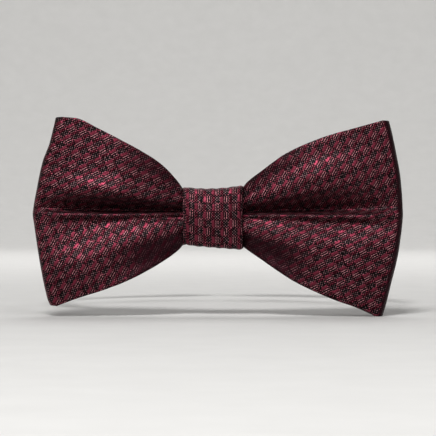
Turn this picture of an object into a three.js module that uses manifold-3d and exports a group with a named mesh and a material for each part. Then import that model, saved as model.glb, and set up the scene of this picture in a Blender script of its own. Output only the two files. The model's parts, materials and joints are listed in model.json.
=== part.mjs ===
// A pre-tied bow tie on an adjustable neckband, standing as it is worn.
// Millimetres and degrees. +X is to the right as the bow is looked at, +Y is back towards the neck,
// and +Z is up.
// The origin is the middle of the knot's flat back, where it bears on the collar.
import * as THREE from "three";
import { mergeVertices } from "three/addons/utils/BufferGeometryUtils.js";
import Module from "manifold-3d";

const wasm = await Module();
wasm.setup();

// ---------- Driving dimensions ----------
const GAP = 0.3; // between pieces that touch
const CLOTH = 0.5; // one ply of the woven cloth
const INTERLINING = 0.5; // the stiffener inside the bow and the knot

// Each wing: its outer corners and how far its end stands out between them
const RIGHT_WING = { side: 1, topX: 56.2, topZ: 31.0, bottomX: 54.0, bottomZ: -31.7, reach: 61.7 };
const LEFT_WING = { side: -1, topX: 51.4, topZ: 32.0, bottomX: 51.8, bottomZ: -28.3, reach: 58.4 };
const WING_PUFF = 4.6; // how far a wing swells in front of its gathered waist
const WING_VALLEY = 2.2; // depth of the groove between a wing's two swells
const WING_GROOVE_HALF = 0.3; // half width of that groove, as a share of the wing's half height
const WING_FLARE = 0.58; // how fast a wing opens as it leaves the knot: 1 would be straight edges
const END_ROUND = 3.1; // radius at which the strip folds back at a wing's outer end
const GATHER_REACH = 1; // the gathers start to open this far beside the thread
const WAIST_DEPTH = 6.2; // the gathered waist, front to back

const KNOT_WIDTH = 19.4;
const KNOT_SWELL = 1.1; // how far the knot's front stands out at its middle
const KNOT_CORNER = 2.6; // rounding of the wrap where it turns from front to top
const KNOT_BACK_CORNER = 1; // rounding where it turns to the back
const KNOT_HEM = 1; // the knot's stiffener stops this far inside each side of the wrap
const KNOT_SLACK = 0.9; // room above and below the neckband inside the knot
const KNOT_FRONT_SLACK = 0.9; // room between the cinched waist and the knot's stiffener
const THREAD = 0.5; // thickness of the cinch thread's turns
const THREAD_RUN = 2.4; // width of the turns, side by side
const THREAD_CORNER = 0.6; // rounding inside the turns

const BAND_WIDTH = 15;
const BAND_THICKNESS = 1.2; // a folded strip, pressed flat
const NECK_RADIUS = 61; // inside of the closed band, for a 38 cm collar
const TUNNEL_SLACK = 1.1; // room behind the band, where it curves away inside the knot
const FRONT_ARC = 55; // the band's front section reaches this far each way round the neck
const EYE_RETURN_ARC = 17; // degrees of the left end's turned-back ply
const SLIDE_ANGLE = 128; // the adjuster's middle bar
const TAB_ARC = 4; // degrees of the band's end turned under the adjuster's middle bar
const FOLD_ARC = 4.7; // degrees of band that travel with the hook

const METAL = 1.2; // thickness of the stamped metal
const BAR = 1.6; // bars that the band folds round
const BAR_ROOM = 0.95; // room between a bar and the band folded round it
const RAIL = 1.5; // side rails of the metal pieces
const RAIL_ROOM = 0.6; // room between the band's edge and a rail
const SLIDE_LENGTH = 12;
const EYE_LENGTH = 13.5;
const EYE_HEIGHT = 13;
const EYE_WINDOW = 4.2;
const HOOK_LENGTH = 14.4;
const HOOK_WIDTH = 8;
const HOOK_THROAT = 1.5; // inside the hook, between its shank and its tongue
const HOOK_TONGUE = 5;
const CLASP_ROOM = 5.2; // between the bars the band folds round, past the hook's and the eye's lengths
const WELD = 0.4; // how far one metal part runs into the next
const FRAME_CORNER = 0.7; // outer corners of the frame that holds the band
const FRAME_WINDOW_CORNER = 0.4;
const EYE_CORNER = 2.5;
const EYE_WINDOW_CORNER = 1.2;
const TACK_HEIGHT = 10; // bar tacks across the band
const TACK_WIDTH = 1.2;
const TACK_PROUD = 0.5;
const EYE_TACK_SHARE = 0.12; // how far along the turned-back ply its tack is, from its end
const EYE_TACK_LIFT = 0.1; // the tack's extra height over that ply, which still slopes there, as a share
const SLIDE_TACK_ARC = 3; // degrees from the adjuster's middle bar to its tack

// ---------- Worked out from them ----------
const STRIP = 2 * CLOTH + INTERLINING + 2 * GAP; // the bow's sewn tube, pressed flat
const KNOT_WALL = CLOTH + GAP + INTERLINING; // wrap and stiffener together
const KNOT_HALF = BAND_WIDTH / 2 + KNOT_SLACK + GAP + KNOT_WALL;
const BAND_BACK = -CLOTH - GAP - TUNNEL_SLACK; // the band's inner face at the knot, along Y
const BAND_FRONT = BAND_BACK - BAND_THICKNESS;
const WAIST_BACK = BAND_FRONT - 2 * GAP - THREAD;
const WAIST_FRONT = WAIST_BACK - WAIST_DEPTH;
const WAIST_HALF = BAND_WIDTH / 2 - GAP; // the bow is gathered a little narrower than the band
const STIFFENER_FRONT = WAIST_FRONT - GAP - THREAD - KNOT_FRONT_SLACK;
const KNOT_FRONT = STIFFENER_FRONT - KNOT_WALL;
const NECK_Y = NECK_RADIUS + BAND_BACK; // the neck's middle
const BAND_MID = NECK_RADIUS + BAND_THICKNESS / 2;
const UPPER_PLY = BAND_MID + BAND_THICKNESS + BAR + 2 * BAR_ROOM; // the ply that turns back
const FOLD_MID = (BAND_MID + UPPER_PLY) / 2;
const CLASP_HALF = (EYE_LENGTH + HOOK_LENGTH + CLASP_ROOM) / 2;
// Where the band turns round the hook's and the eye's bars
const FOLD_ANGLE = 180 - THREE.MathUtils.radToDeg(Math.asin(CLASP_HALF / FOLD_MID));
const EYE_RETURN_ANGLE = FOLD_ANGLE - EYE_RETURN_ARC;
const UNDER_PLY = BAND_MID + BAND_THICKNESS + GAP; // the end turned under the adjuster's bar
const SLIDE_BAR_MID = (UNDER_PLY + UPPER_PLY) / 2;
const RAIL_INNER = BAND_WIDTH / 2 + RAIL_ROOM;
const RAIL_OUTER = RAIL_INNER + RAIL;
const GAP_ARC = THREE.MathUtils.radToDeg(GAP / BAND_MID); // the gap between two lengths of band

// ---------- Finishes ----------
const cloth = new THREE.MeshStandardMaterial({ color: 0x5a1426, roughness: 0.62, metalness: 0 });
const stiffener = new THREE.MeshStandardMaterial({ color: 0xd9d4c8, roughness: 0.95, metalness: 0 });
const thread = new THREE.MeshStandardMaterial({ color: 0x2a0a12, roughness: 0.7, metalness: 0 });
const metal = new THREE.MeshStandardMaterial({ color: 0xb9bbc0, roughness: 0.25, metalness: 1 });

// ---------- Helpers ----------

// A solid from rings of points: rings[i][j]. Both ways round are closed.
function closedSweep(rings) {
  const across = rings[0].length;
  const positions = rings.flat().flatMap((p) => [p.x, p.y, p.z]);
  const index = [];
  rings.forEach((ring, i) => {
    const next = (i + 1) % rings.length;
    ring.forEach((_, j) => {
      const k = (j + 1) % across;
      const [a, b] = [i * across + j, i * across + k];
      const [c, d] = [next * across + j, next * across + k];
      index.push(a, d, b, a, c, d);
    });
  });
  const geometry = new THREE.BufferGeometry();
  geometry.setAttribute("position", new THREE.Float32BufferAttribute(positions, 3));
  geometry.setIndex(index);
  return geometry;
}

// The outline of a strip of the given thickness that follows a line of points.
function ribbonShape(points, thickness) {
  const sides = [1, -1].map((side) =>
    points.map((p, i) => {
      const before = points[Math.max(i - 1, 0)];
      const after = points[Math.min(i + 1, points.length - 1)];
      const along = after.clone().sub(before).normalize();
      const offset = (side * thickness) / 2;
      return new THREE.Vector2(p.x - along.y * offset, p.y + along.x * offset);
    }),
  );
  return new THREE.Shape([...sides[0], ...sides[1].reverse()]);
}

// A flat outline in X and Y, given a height and centred on z = 0.
function standUp(shape, height) {
  const geometry = new THREE.ExtrudeGeometry(shape, { depth: height, bevelEnabled: false, steps: 1 });
  return geometry.translate(0, 0, -height / 2);
}

// An outline in Y and Z, run along X and centred on x = 0.
function runAcross(shape, width) {
  const geometry = standUp(shape, width);
  const axes = [new THREE.Vector3(0, 1, 0), new THREE.Vector3(0, 0, 1), new THREE.Vector3(1, 0, 0)];
  return geometry.applyMatrix4(new THREE.Matrix4().makeBasis(...axes));
}

// A point round the neck: angle 0 is behind the knot, and positive angles go to the right.
function roundNeck(radius, degrees) {
  const angle = THREE.MathUtils.degToRad(degrees);
  return new THREE.Vector2(radius * Math.sin(angle), NECK_Y - radius * Math.cos(angle));
}

// Points round the neck from one angle to another. The radius may change evenly on the way.
function neckArc(radius, from, to, endRadius = radius) {
  const steps = Math.max(2, Math.ceil(Math.abs(to - from) / 7));
  return Array.from({ length: steps + 1 }, (_, i) => {
    const share = i / steps;
    return roundNeck(radius + (endRadius - radius) * share, from + (to - from) * share);
  });
}

// The half turn of a ply from the inner radius to the outer one, on the side that side points to.
function halfTurn(inner, outer, degrees, side) {
  const centre = roundNeck((inner + outer) / 2, degrees);
  const radius = (outer - inner) / 2;
  const outward = roundNeck(radius, degrees).sub(new THREE.Vector2(0, NECK_Y));
  return [30, 60, 90, 120, 150].map((turn) => {
    const angle = THREE.MathUtils.degToRad(side * (180 - turn));
    return outward.clone().rotateAround(new THREE.Vector2(), angle).add(centre);
  });
}

// A rectangle with rounded corners, from its lowest to its highest corner.
function roundedRectangle(lowX, lowY, highX, highY, radius) {
  const r = Math.min(radius, (highX - lowX) / 2, (highY - lowY) / 2);
  const shape = new THREE.Shape();
  shape.absarc(highX - r, highY - r, r, 0, Math.PI / 2);
  shape.absarc(lowX + r, highY - r, r, Math.PI / 2, Math.PI);
  shape.absarc(lowX + r, lowY + r, r, Math.PI, Math.PI * 1.5);
  shape.absarc(highX - r, lowY + r, r, Math.PI * 1.5, Math.PI * 2);
  shape.closePath();
  return shape;
}

// A three.js geometry as a manifold-3d solid, and back again.
function toSolid(geometry) {
  const bare = new THREE.BufferGeometry();
  bare.setAttribute("position", geometry.getAttribute("position"));
  bare.setIndex(geometry.index);
  const merged = mergeVertices(bare, 1e-4);
  const vertProperties = merged.attributes.position.array;
  const triVerts = new Uint32Array(merged.index.array);
  return new wasm.Manifold(new wasm.Mesh({ numProp: 3, vertProperties, triVerts }));
}

function toGeometry(solid) {
  const { vertProperties, triVerts } = solid.getMesh();
  const geometry = new THREE.BufferGeometry();
  geometry.setAttribute("position", new THREE.BufferAttribute(vertProperties, 3));
  return geometry.setIndex(new THREE.BufferAttribute(triVerts, 1));
}

function joined(...geometries) {
  return toGeometry(geometries.map(toSolid).reduce((whole, piece) => whole.add(piece)));
}

const bowTie = new THREE.Group();
bowTie.name = "bow_tie";

function addPiece(name, geometry, material, parent = bowTie) {
  const mesh = new THREE.Mesh(geometry, material);
  mesh.name = name;
  parent.add(mesh);
  return mesh;
}

// ---------- The bow: one sewn strip, folded into two wings and gathered at its waist ----------

// How far out along a wing the strip is sampled, in front and behind, from 0 at the knot to 1 at the end.
const FRONT_STEPS = [0, 0.06, 0.15, 0.3, 0.48, 0.66, 0.84, 1];
const BACK_STEPS = [0.8, 0.5, 0.25, 0.08, 0];
const ACROSS = [-1, -0.78, -0.52, -0.26, 0, 0.26, 0.52, 0.78, 1];
const EDGE_TURN = 0.965; // where the cloth turns round the strip's edge, as a share of its half width
const EDGE_MARGIN = 0.04; // the stiffener stops this much short of that turn
const SEAM_HALF = 0.03; // half the slit of the strip's long seam, as a share of its half width
const WAIST_X = THREAD_RUN / 2 + GATHER_REACH;
const MOUTH_HALF = KNOT_HALF - KNOT_WALL - GAP; // half the strip's height where it leaves the knot
const TILT_STEP = 0.02; // how far up and down the strip its slope is measured, as a share of its half width

// The line of the strip along one wing at height t, from -1 at the bottom edge to 1 at the top.
function wingLine(wing, t) {
  const high = t > 0;
  const cornerX = high ? wing.topX : wing.bottomX;
  const endX = cornerX + (wing.reach - cornerX) * (1 - t * t);
  const endZ = Math.abs(t) * (high ? wing.topZ : wing.bottomZ);
  const mouthX = KNOT_WIDTH / 2;
  const mouthZ = t * MOUTH_HALF;
  const flatX = endX - END_ROUND;
  const place = (f, y) => {
    const x = mouthX + (flatX - mouthX) * f;
    return new THREE.Vector3(wing.side * x, y, mouthZ + (endZ - mouthZ) * f ** WING_FLARE);
  };
  const waist = (y) => new THREE.Vector3(wing.side * WAIST_X, y, t * WAIST_HALF);
  const front = FRONT_STEPS.map((f) => {
    const swell = Math.sin(Math.PI * f ** 0.8); // greatest a little nearer the knot than half way
    const puff = WING_PUFF * (1 - 0.5 * t * t); // half as deep at the edges
    const groove = WING_VALLEY * Math.exp(-((t / WING_GROOVE_HALF) ** 2));
    return place(f, WAIST_FRONT - swell * (puff - groove));
  });
  const middleY = (WAIST_FRONT + WAIST_BACK) / 2;
  const turn = [45, 90, 135].map((degrees) => {
    const angle = THREE.MathUtils.degToRad(degrees);
    const x = wing.side * (flatX + END_ROUND * Math.sin(angle));
    return new THREE.Vector3(x, middleY - (WAIST_DEPTH / 2) * Math.cos(angle), endZ);
  });
  const back = [1, ...BACK_STEPS].map((f) => place(f, WAIST_BACK));
  return [waist(WAIST_FRONT), ...front, ...turn, ...back, waist(WAIST_BACK)];
}

// Once round the whole strip: out along the right wing, back behind it, and the same on the left.
function stripLine(t) {
  const waist = (y) => new THREE.Vector3(0, y, t * WAIST_HALF);
  const right = wingLine(RIGHT_WING, t);
  const left = wingLine(LEFT_WING, t).reverse();
  return [waist(WAIST_FRONT), ...right, waist(WAIST_BACK), ...left];
}

// A point of the strip at station i, at height t, sunk below its outer face.
function stripPoint(i, t, sunk) {
  const line = stripLine(t);
  const above = stripLine(t + TILT_STEP);
  const below = stripLine(t - TILT_STEP);
  const count = line.length;
  const along = line[(i + 1) % count].clone().sub(line[(i + count - 1) % count]);
  const up = above[i].clone().sub(below[i]);
  const outward = along.cross(up).normalize();
  return line[i].clone().addScaledVector(outward, -sunk);
}

// A closed section given as [t, sunk] pairs, carried once round the strip.
function alongStrip(section) {
  const stations = stripLine(0).length;
  const ringAt = (_, i) => section.map(([t, sunk]) => stripPoint(i, t, sunk));
  return closedSweep(Array.from({ length: stations }, ringAt));
}

const inner = ACROSS.slice(1, -1);
const upperHalf = inner.filter((t) => t > 0);
const lowerHalf = inner.filter((t) => t < 0);
const innerPly = STRIP - CLOTH;
const at = (list, sunk) => list.map((t) => [t, sunk]);
const down = (list) => [...list].reverse();

// The cloth is a tube pressed flat, open along its seam on the inner side.
addPiece(
  "bow_cloth",
  alongStrip([
    ...at(ACROSS, 0),
    ...at([1, ...down(upperHalf), SEAM_HALF], STRIP),
    ...at([SEAM_HALF, ...upperHalf, EDGE_TURN], innerPly),
    ...at([EDGE_TURN, ...down(inner), -EDGE_TURN], CLOTH),
    ...at([-EDGE_TURN, ...lowerHalf, -SEAM_HALF], innerPly),
    ...at([-SEAM_HALF, ...down(lowerHalf), -1], STRIP),
  ]),
  cloth,
);

const stiffEdge = EDGE_TURN - EDGE_MARGIN;
const stiffAcross = [-stiffEdge, ...inner, stiffEdge];
addPiece(
  "bow_interlining",
  alongStrip([
    ...at(stiffAcross, CLOTH + GAP),
    ...at(down(stiffAcross), CLOTH + GAP + INTERLINING),
  ]),
  stiffener,
);

// ---------- What holds the waist: the cinch thread, the knot's stiffener and its cloth wrap ----------

// A ring round X between two outlines, each [lowY, highY, halfHeight, corner].
function ringAcross(outer, inside, width) {
  const [outline, hole] = [outer, inside].map(([lowY, highY, half, corner]) =>
    roundedRectangle(lowY, -half, highY, half, corner),
  );
  outline.holes.push(hole);
  return runAcross(outline, width);
}

const threadInside = [WAIST_FRONT - GAP, WAIST_BACK + GAP, WAIST_HALF + GAP, THREAD_CORNER];
const threadOutside = [
  WAIST_FRONT - GAP - THREAD,
  WAIST_BACK + GAP + THREAD,
  WAIST_HALF + GAP + THREAD,
  THREAD_CORNER + THREAD,
];
addPiece("cinch_thread", ringAcross(threadOutside, threadInside, THREAD_RUN), thread);

// The front of the knot swells: an outline in Y and Z that stands a given depth inside the wrap's own.
function knotOutline(depth) {
  const half = KNOT_HALF - depth;
  const front = KNOT_FRONT + depth;
  const r = KNOT_CORNER - depth;
  const backR = Math.max(GAP, KNOT_BACK_CORNER - depth);
  const shape = new THREE.Shape();
  shape.moveTo(-depth - backR, -half);
  shape.absarc(-depth - backR, -half + backR, backR, -Math.PI / 2, 0);
  shape.absarc(-depth - backR, half - backR, backR, 0, Math.PI / 2);
  shape.absarc(front + r, half - r, r, Math.PI / 2, Math.PI);
  shape.quadraticCurveTo(front - 2 * KNOT_SWELL, 0, front, -half + r);
  shape.absarc(front + r, -half + r, r, Math.PI, Math.PI * 1.5);
  shape.closePath();
  return shape;
}

const wrapOutline = knotOutline(0);
wrapOutline.holes.push(knotOutline(CLOTH));
addPiece("knot_wrap", runAcross(wrapOutline, KNOT_WIDTH), cloth);

// The knot's stiffener is a strip bent over the top, down the front and under, open towards the neck.
const stiffHalf = KNOT_HALF - CLOTH - GAP - INTERLINING / 2;
const stiffFront = KNOT_FRONT + CLOTH + GAP + INTERLINING / 2;
const bend = KNOT_CORNER - CLOTH - GAP;
const corner = (sign) =>
  [0, 30, 60, 90].map((degrees) => {
    const angle = THREE.MathUtils.degToRad(degrees);
    const y = stiffFront + bend * (1 - Math.sin(angle));
    return new THREE.Vector2(y, sign * (stiffHalf - bend * (1 - Math.cos(angle))));
  });
const stiffLine = [
  new THREE.Vector2(WAIST_BACK, stiffHalf),
  ...corner(1),
  new THREE.Vector2(stiffFront - KNOT_SWELL, 0),
  ...corner(-1).reverse(),
  new THREE.Vector2(WAIST_BACK, -stiffHalf),
];
const stiffWidth = KNOT_WIDTH - 2 * KNOT_HEM;
addPiece("knot_interlining", runAcross(ribbonShape(stiffLine, INTERLINING), stiffWidth), stiffener);

// ---------- The neckband: front section, left half, and an adjustable right half ----------

function addBand(name, points) {
  return addPiece(name, standUp(ribbonShape(points, BAND_THICKNESS), BAND_WIDTH), cloth);
}

addBand("neckband_front", neckArc(BAND_MID, -FRONT_ARC, FRONT_ARC));
addBand("neckband_left", [
  ...neckArc(BAND_MID, -FRONT_ARC - GAP_ARC, -FOLD_ANGLE),
  ...halfTurn(BAND_MID, UPPER_PLY, -FOLD_ANGLE, -1),
  ...neckArc(UPPER_PLY, -FOLD_ANGLE, -EYE_RETURN_ANGLE, UNDER_PLY),
]);
const foldStart = FOLD_ANGLE - FOLD_ARC;
addBand("neckband_right", neckArc(BAND_MID, FRONT_ARC + GAP_ARC, foldStart - GAP_ARC));
addBand("neckband_hook_fold", [
  ...neckArc(BAND_MID, foldStart, FOLD_ANGLE),
  ...halfTurn(BAND_MID, UPPER_PLY, FOLD_ANGLE, 1),
  ...neckArc(UPPER_PLY, FOLD_ANGLE, foldStart),
]);
const tabEnd = SLIDE_ANGLE + TAB_ARC;
addBand("neckband_return", neckArc(UPPER_PLY, foldStart - GAP_ARC, tabEnd + GAP_ARC));
addBand("neckband_slide_tab", [
  ...neckArc(UNDER_PLY, tabEnd, SLIDE_ANGLE),
  ...halfTurn(UNDER_PLY, UPPER_PLY, SLIDE_ANGLE, -1),
  ...neckArc(UPPER_PLY, SLIDE_ANGLE, tabEnd),
]);

// Bar tacks hold the turned-back plies. Each lies on the outer face of the ply whose middle radius is given.
function addTack(name, ply, degrees) {
  const radius = ply + (BAND_THICKNESS + TACK_PROUD) / 2 + GAP;
  const tack = addPiece(name, new THREE.BoxGeometry(TACK_WIDTH, TACK_PROUD, TACK_HEIGHT), thread);
  const middle = roundNeck(radius, degrees);
  tack.position.set(middle.x, middle.y, 0);
  tack.rotation.z = THREE.MathUtils.degToRad(degrees);
}

const eyeTackAngle = EYE_RETURN_ANGLE + EYE_RETURN_ARC * EYE_TACK_SHARE;
const eyeTackPly = UNDER_PLY + (UPPER_PLY - UNDER_PLY) * (EYE_TACK_SHARE + EYE_TACK_LIFT);
addTack("eye_tack", eyeTackPly, -eyeTackAngle);
addTack("slide_tack", UPPER_PLY, SLIDE_ANGLE + SLIDE_TACK_ARC);

// ---------- The metal pieces ----------

// A group at a bar that the band folds round, with +X running out from the fold towards the clasp.
function atFold(side) {
  const group = new THREE.Group();
  const middle = roundNeck(FOLD_MID, side * FOLD_ANGLE);
  group.position.set(middle.x, middle.y, 0);
  group.rotation.z = THREE.MathUtils.degToRad((side * (FOLD_ANGLE + 180)) / 2);
  group.scale.x = side;
  bowTie.add(group);
  return group;
}

const foldReach = (UPPER_PLY - BAND_MID + BAND_THICKNESS) / 2; // how far the fold stands past its bar
const crossBar = foldReach + RAIL_ROOM;

// The stamped frame that holds the band: a bar at x = 0, two rails and a cross bar.
function bandFrame() {
  const outline = roundedRectangle(-BAR / 2, -RAIL_OUTER, crossBar + RAIL, RAIL_OUTER, FRAME_CORNER);
  const window = roundedRectangle(BAR / 2, -RAIL_INNER, crossBar, RAIL_INNER, FRAME_WINDOW_CORNER);
  outline.holes.push(window);
  return outline;
}

// A flat outline in X and Y becomes metal sheet that stands in X and Z.
function sheetMetal(shape) {
  const settings = { depth: METAL, bevelEnabled: false, curveSegments: 5 };
  const geometry = new THREE.ExtrudeGeometry(shape, settings);
  return geometry.translate(0, 0, -METAL / 2).rotateX(Math.PI / 2);
}

const eyeStart = crossBar + RAIL - WELD;
const eyeLoop = roundedRectangle(eyeStart, -EYE_HEIGHT / 2, EYE_LENGTH, EYE_HEIGHT / 2, EYE_CORNER);
const windowEnd = EYE_LENGTH - RAIL;
const windowHalf = EYE_HEIGHT / 2 - RAIL;
const windowStart = windowEnd - EYE_WINDOW;
eyeLoop.holes.push(roundedRectangle(windowStart, -windowHalf, windowEnd, windowHalf, EYE_WINDOW_CORNER));
addPiece("eye", joined(sheetMetal(bandFrame()), sheetMetal(eyeLoop)), metal, atFold(-1));

// The hook's shank runs straight out and its tongue curls back over it.
const curl = (HOOK_THROAT + METAL) / 2;
const shankEnd = HOOK_LENGTH - curl - METAL / 2;
const hookCurl = [-60, -30, 0, 30, 60, 90].map((degrees) => {
  const angle = THREE.MathUtils.degToRad(degrees);
  return new THREE.Vector2(shankEnd + curl * Math.cos(angle), curl * (1 + Math.sin(angle)));
});
const hookLine = [
  new THREE.Vector2(eyeStart, 0),
  new THREE.Vector2(shankEnd, 0),
  ...hookCurl,
  new THREE.Vector2(shankEnd - HOOK_TONGUE, 2 * curl),
];
const hookTongue = standUp(ribbonShape(hookLine, METAL), HOOK_WIDTH);
addPiece("hook", joined(sheetMetal(bandFrame()), hookTongue), metal, atFold(1));

// The adjuster: two rails, two outer bars inside the band and a middle bar outside it.
function bandBlock(radius, depth, run, low, high) {
  const geometry = new THREE.BoxGeometry(run, depth, high - low);
  return geometry.translate(0, radius, (low + high) / 2);
}

const outerBarMid = NECK_RADIUS - BAR_ROOM - METAL / 2;
const railLow = outerBarMid - METAL / 2;
const railHigh = SLIDE_BAR_MID + METAL / 2;
const railRadius = (railLow + railHigh) / 2;
const railDepth = railHigh - railLow;
const rails = [-RAIL_OUTER, RAIL_INNER].map((low) =>
  bandBlock(railRadius, railDepth, SLIDE_LENGTH, low, low + RAIL),
);
const barEnd = RAIL_INNER + WELD;
const outerBars = [-1, 1].map((side) => {
  const bar = bandBlock(outerBarMid, METAL, METAL, -barEnd, barEnd);
  return bar.translate((side * (SLIDE_LENGTH - METAL)) / 2, 0, 0);
});
const middleBar = bandBlock(SLIDE_BAR_MID, METAL, METAL, -barEnd, barEnd);
const slide = addPiece("adjuster_slide", joined(...rails, ...outerBars, middleBar), metal);
slide.position.set(0, NECK_Y, 0);
slide.rotation.z = THREE.MathUtils.degToRad(SLIDE_ANGLE + 180);

export default bowTie;
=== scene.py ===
import json
import math

import bmesh
import bpy
import numpy as np
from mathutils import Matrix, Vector


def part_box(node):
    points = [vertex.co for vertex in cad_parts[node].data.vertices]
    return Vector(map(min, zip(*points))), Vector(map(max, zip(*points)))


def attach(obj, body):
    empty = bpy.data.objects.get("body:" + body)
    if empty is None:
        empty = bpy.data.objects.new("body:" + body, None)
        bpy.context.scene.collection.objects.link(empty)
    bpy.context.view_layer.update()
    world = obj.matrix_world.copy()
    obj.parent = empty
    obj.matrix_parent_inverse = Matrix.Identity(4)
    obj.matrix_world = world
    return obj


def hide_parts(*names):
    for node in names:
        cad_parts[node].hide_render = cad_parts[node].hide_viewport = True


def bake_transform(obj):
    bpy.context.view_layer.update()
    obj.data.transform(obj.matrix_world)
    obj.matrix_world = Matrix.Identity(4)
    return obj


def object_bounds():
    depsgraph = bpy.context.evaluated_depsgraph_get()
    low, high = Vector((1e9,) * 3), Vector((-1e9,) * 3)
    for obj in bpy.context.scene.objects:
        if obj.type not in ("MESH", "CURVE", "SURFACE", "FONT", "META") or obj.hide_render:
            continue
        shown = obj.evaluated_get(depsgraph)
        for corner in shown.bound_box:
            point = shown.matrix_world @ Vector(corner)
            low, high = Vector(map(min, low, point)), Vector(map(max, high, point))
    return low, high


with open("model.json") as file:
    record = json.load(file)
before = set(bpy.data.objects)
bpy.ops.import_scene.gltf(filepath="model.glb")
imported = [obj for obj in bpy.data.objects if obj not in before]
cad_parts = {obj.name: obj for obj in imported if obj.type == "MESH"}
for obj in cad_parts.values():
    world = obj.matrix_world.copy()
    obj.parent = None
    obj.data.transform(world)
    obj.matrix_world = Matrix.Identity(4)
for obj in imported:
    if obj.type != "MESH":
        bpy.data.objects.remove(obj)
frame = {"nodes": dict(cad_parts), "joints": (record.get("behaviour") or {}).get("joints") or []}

cad_box = [list(corner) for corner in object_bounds()]
MM = 0.001

# ---------------------------------------------------------------------------------------------
# The bow: one strip of burgundy and black jacquard, sewn as a tube over a stiffener and pressed.
# Its ends fold back to make two wings, and it is gathered at the waist, so each wing leaves the
# knot as two puffs with a deep pleat between them. The cloth is cut on the bias.
# ---------------------------------------------------------------------------------------------


def flow(places, values, at):
    """A smooth line through the values, flat at each peak and hollow."""
    x, y = np.asarray(places, float), np.asarray(values, float)
    step = np.diff(x)
    slope = np.diff(y) / step
    lean = np.zeros(len(x))
    both = slope[:-1] * slope[1:]
    same_way = both > 0
    lean[1:-1][same_way] = 2 * both[same_way] / (slope[:-1] + slope[1:])[same_way]
    lean[0], lean[-1] = slope[0], slope[-1]
    i = np.clip(np.searchsorted(x, at) - 1, 0, len(step) - 1)
    s = np.clip((at - x[i]) / step[i], 0, 1)
    start = (1 + 2 * s) * (1 - s) ** 2 * y[i] + s * (1 - s) ** 2 * step[i] * lean[i]
    end = s * s * (3 - 2 * s) * y[i + 1] - s * s * (1 - s) * step[i] * lean[i + 1]
    return start + end


def grid_mesh(name, points, weave, round_rows, round_across, plain=None):
    """A sheet of faces over points[row, place], in mm. weave gives each corner's place in the weave."""
    rows, across = points.shape[:2]
    mesh = bpy.data.meshes.new(name)
    row_steps = rows if round_rows else rows - 1
    across_steps = across if round_across else across - 1
    i, j = np.meshgrid(np.arange(row_steps), np.arange(across_steps), indexing="ij")
    i, j = i.ravel(), j.ravel()
    corners = np.stack([(i, j), (i + 1, j), (i + 1, j + 1), (i, j + 1)], axis=0)
    index = (corners[:, 0] % rows) * across + corners[:, 1] % across
    mesh.vertices.add(rows * across)
    mesh.vertices.foreach_set("co", (points * MM).ravel())
    mesh.loops.add(4 * len(i))
    mesh.loops.foreach_set("vertex_index", index.T.ravel())
    mesh.polygons.add(len(i))
    mesh.polygons.foreach_set("loop_start", np.arange(len(i)) * 4)
    mesh.update(calc_edges=True)
    mesh.validate()
    uv = mesh.uv_layers.new(name="weave")
    places = weave(corners[:, 0].T, corners[:, 1].T)
    uv.data.foreach_set("uv", (places * MM).reshape(-1))
    # How much painted shade each corner gets, kept as a point attribute for the cloth's material
    if plain is not None:
        layer = mesh.attributes.new("plain", "FLOAT", "POINT")
        layer.data.foreach_set("value", plain.ravel())
    mesh.polygons.foreach_set("use_smooth", np.ones(len(i), bool))
    piece = bpy.data.objects.new(name, mesh)
    bpy.context.scene.collection.objects.link(piece)
    return piece


KNOT_EDGE = 9.7  # half of the knot's width, where the wings come out
WAIST_FRONT, WAIST_BACK, WAIST_HALF = -10.5, -4.3, 7.1
WAIST_AT = (2.0, 5.0)  # the strip's rows inside the knot, out from its middle
WAIST_OPENS = 6.0  # over this length the strip opens from its waist to the mouth
MOUTH_HALF = 8.3
STRIP_THICKNESS = 1.1
END_ROUND = 2.2
BACK_LEAN, BACK_SAG = 0.9, 1.1  # how far a wing's back leans out at its end and sags in between
SEAM_RIDGE, SEAM_WIDTH = 0.32, 0.018
STATIONS = [0, 0.25, 0.5, 0.75, 1]

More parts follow.
